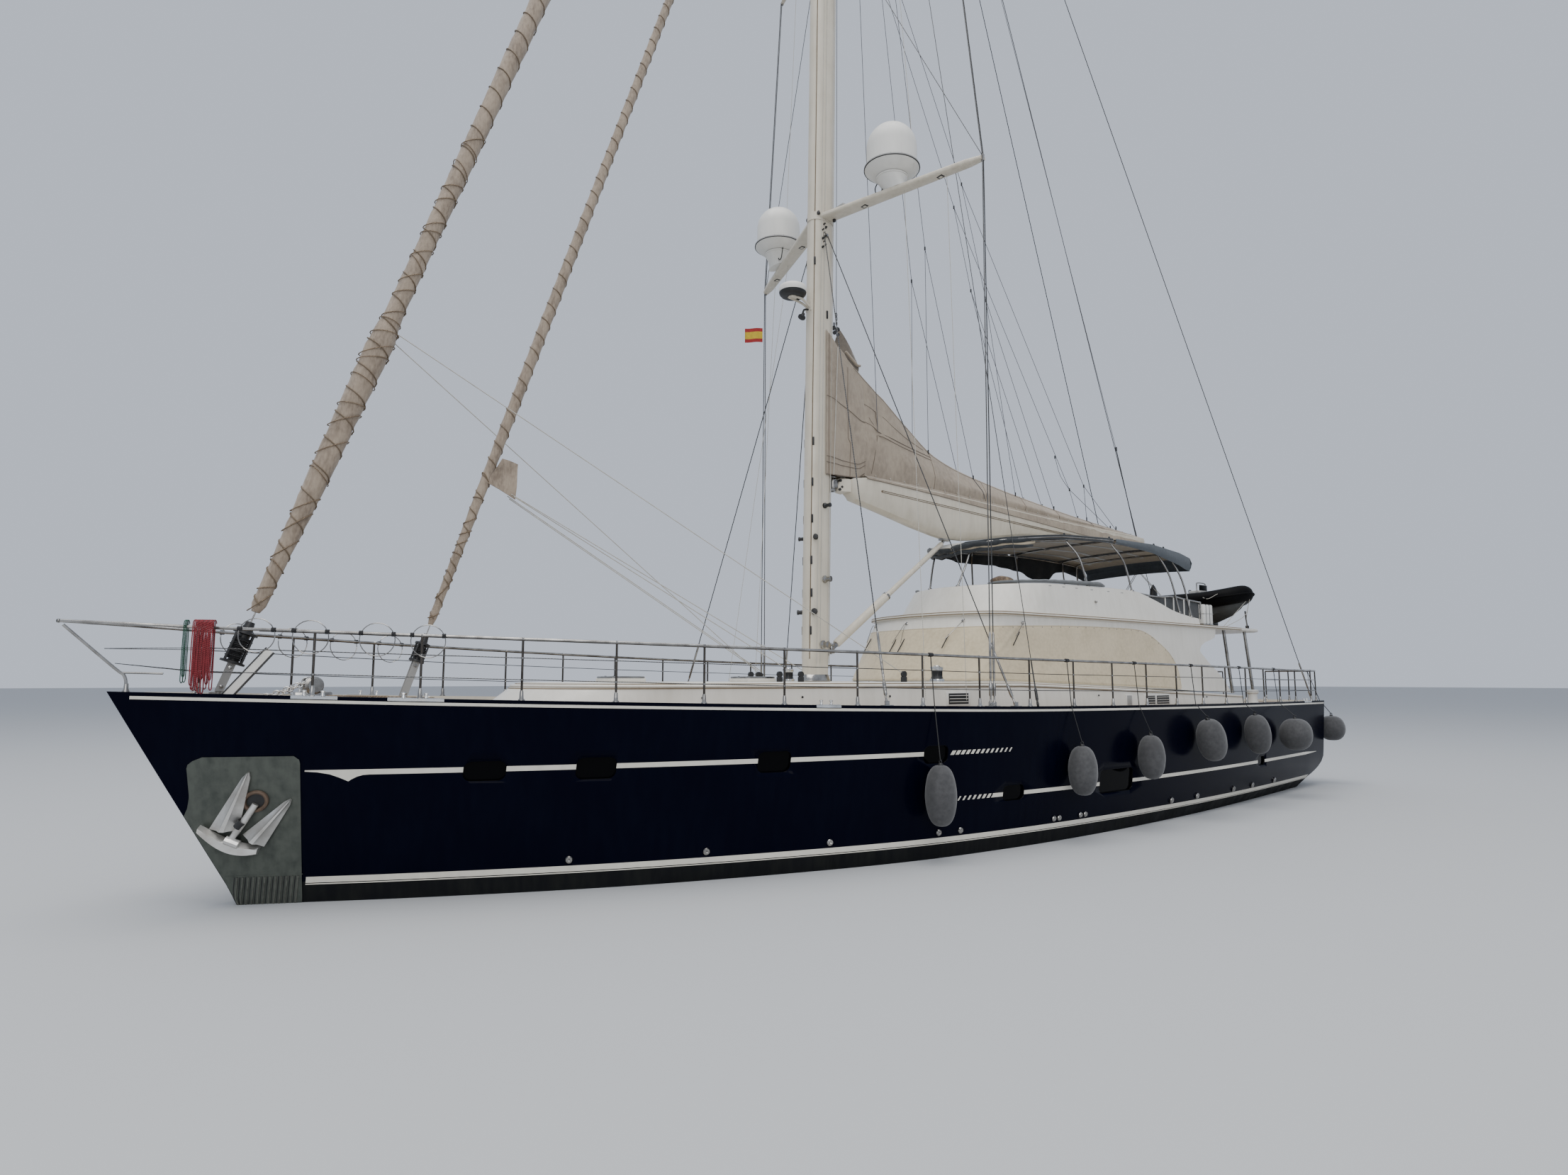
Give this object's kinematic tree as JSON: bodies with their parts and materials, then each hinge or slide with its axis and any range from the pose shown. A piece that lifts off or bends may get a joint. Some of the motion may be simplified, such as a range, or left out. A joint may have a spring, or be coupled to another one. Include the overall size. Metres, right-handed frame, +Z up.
{
  "type": "sailing yacht",
  "caption": "Cruising sailing yacht with a deck saloon, a flybridge under a bimini, a tall mast, furled headsails, stowed mainsail, keel, rudder and propeller, as it lies afloat.",
  "frame": {"origin": "on the centreline at the waterline, 14.8 m aft of the stem head", "axes": "+X towards the bow, +Y to port, +Z up; z = 0 is the waterline"},
  "size_m": [31.106, 8.3474, 39.62],
  "materials": {
    "navy_paint": "gloss dark navy topside paint with a cream cove line",
    "antifouling": "matt dark antifouling paint",
    "bronze": "cast bronze, dull",
    "galvanised_steel": "worn stainless and galvanised steel",
    "white_gelcoat": "semi-gloss warm white gelcoat",
    "teak": "varnished teak",
    "canvas": "beige woven canvas",
    "polished_steel": "polished stainless steel",
    "cream_paint": "cream gloss paint",
    "white_plastic": "satin white moulding",
    "sail_cloth": "taupe weatherproof cover cloth",
    "dark_metal": "black anodised drum and wire",
    "smoked_acrylic": "dark smoked acrylic lid",
    "tender_rubber": "dark coated fabric tubes",
    "fender_cloth": "dark knitted fender socks"
  },
  "bodies": {
    "yacht_body": {"hull": "navy_paint", "keel": "antifouling", "shaft_and_bracket": "bronze", "anchor_port": "galvanised_steel", "anchor_starboard": "galvanised_steel", "coachroof": "white_gelcoat", "saloon_front": "white_gelcoat", "saloon_side_port": "white_gelcoat", "saloon_side_starboard": "white_gelcoat", "saloon_bulkhead": "white_gelcoat", "window_cover": "canvas", "flybridge_deck": "white_gelcoat", "flybridge_coaming": "white_gelcoat", "bimini_top": "canvas", "bimini_frame": "polished_steel", "guard_rail_port": "polished_steel", "guard_rail_starboard": "polished_steel", "mast": "cream_paint", "spreaders": "cream_paint", "dome_port": "white_plastic", "dome_starboard": "white_plastic", "radar": "white_plastic", "forestay_and_drum": "dark_metal", "furled_genoa": "sail_cloth", "inner_stay_and_drum": "dark_metal", "furled_staysail": "sail_cloth", "cap_shroud_port": "polished_steel", "cap_shroud_starboard": "polished_steel", "lower_shrouds_port": "polished_steel", "lower_shrouds_starboard": "polished_steel", "backstays": "polished_steel", "helm_console": "white_gelcoat", "hatch_frame_forward": "polished_steel", "hatch_frame_middle": "polished_steel", "winch_port": "polished_steel", "winch_starboard": "polished_steel", "windlass": "polished_steel", "life_raft": "white_plastic", "tender": "tender_rubber", "fender_1": "fender_cloth", "fender_2": "fender_cloth", "fender_3": "fender_cloth", "fender_4": "fender_cloth", "fender_5": "fender_cloth", "fender_6": "fender_cloth", "fender_7": "fender_cloth"},
    "boom": {"boom": "cream_paint", "vang": "cream_paint", "sail_cover": "sail_cloth"},
    "rudder": {"rudder": "antifouling"},
    "propeller": {"propeller": "bronze"},
    "helm_wheel": {"helm_wheel": "polished_steel"},
    "saloon_door": {"saloon_door": "teak"},
    "hatch_lid_forward": {"hatch_lid_forward": "smoked_acrylic"},
    "hatch_lid_middle": {"hatch_lid_middle": "smoked_acrylic"}
  },
  "joints": [
    {"name": "boom_swing", "type": "hinge", "parent": "yacht_body", "child": "boom", "pos_m": [2.30217, 0, 7.465], "axis": [-0.019, 0, 0.9998], "range_deg": [-50, 50]},
    {"name": "rudder_turn", "type": "hinge", "parent": "yacht_body", "child": "rudder", "pos_m": [-11.3, 0, -1], "axis": [0, 0, 1], "range_deg": [-35, 35]},
    {"name": "propeller_spin", "type": "hinge", "parent": "yacht_body", "child": "propeller", "pos_m": [-9.56, 0, -1.58], "axis": [-0.9936, 0, -0.1129], "continuous": true},
    {"name": "helm_turn", "type": "hinge", "parent": "yacht_body", "child": "helm_wheel", "pos_m": [-3.63, 0, 5.33], "axis": [1, 0, 0], "range_deg": [-630, 630]},
    {"name": "door_slide", "type": "slide", "parent": "yacht_body", "child": "saloon_door", "axis": [0, 1, 0], "range_m": [0, 0.8]},
    {"name": "forward_hatch", "type": "hinge", "parent": "yacht_body", "child": "hatch_lid_forward", "pos_m": [6.96, 0, 3.1903], "axis": [0, -1, 0], "range_deg": [0, 85]},
    {"name": "middle_hatch", "type": "hinge", "parent": "yacht_body", "child": "hatch_lid_middle", "pos_m": [4.06, 0, 3.1903], "axis": [0, -1, 0], "range_deg": [0, 85]}
  ],
  "couplings": [
    {"joint": "helm_turn", "follows": "rudder_turn", "ratio": 18}
  ]
}
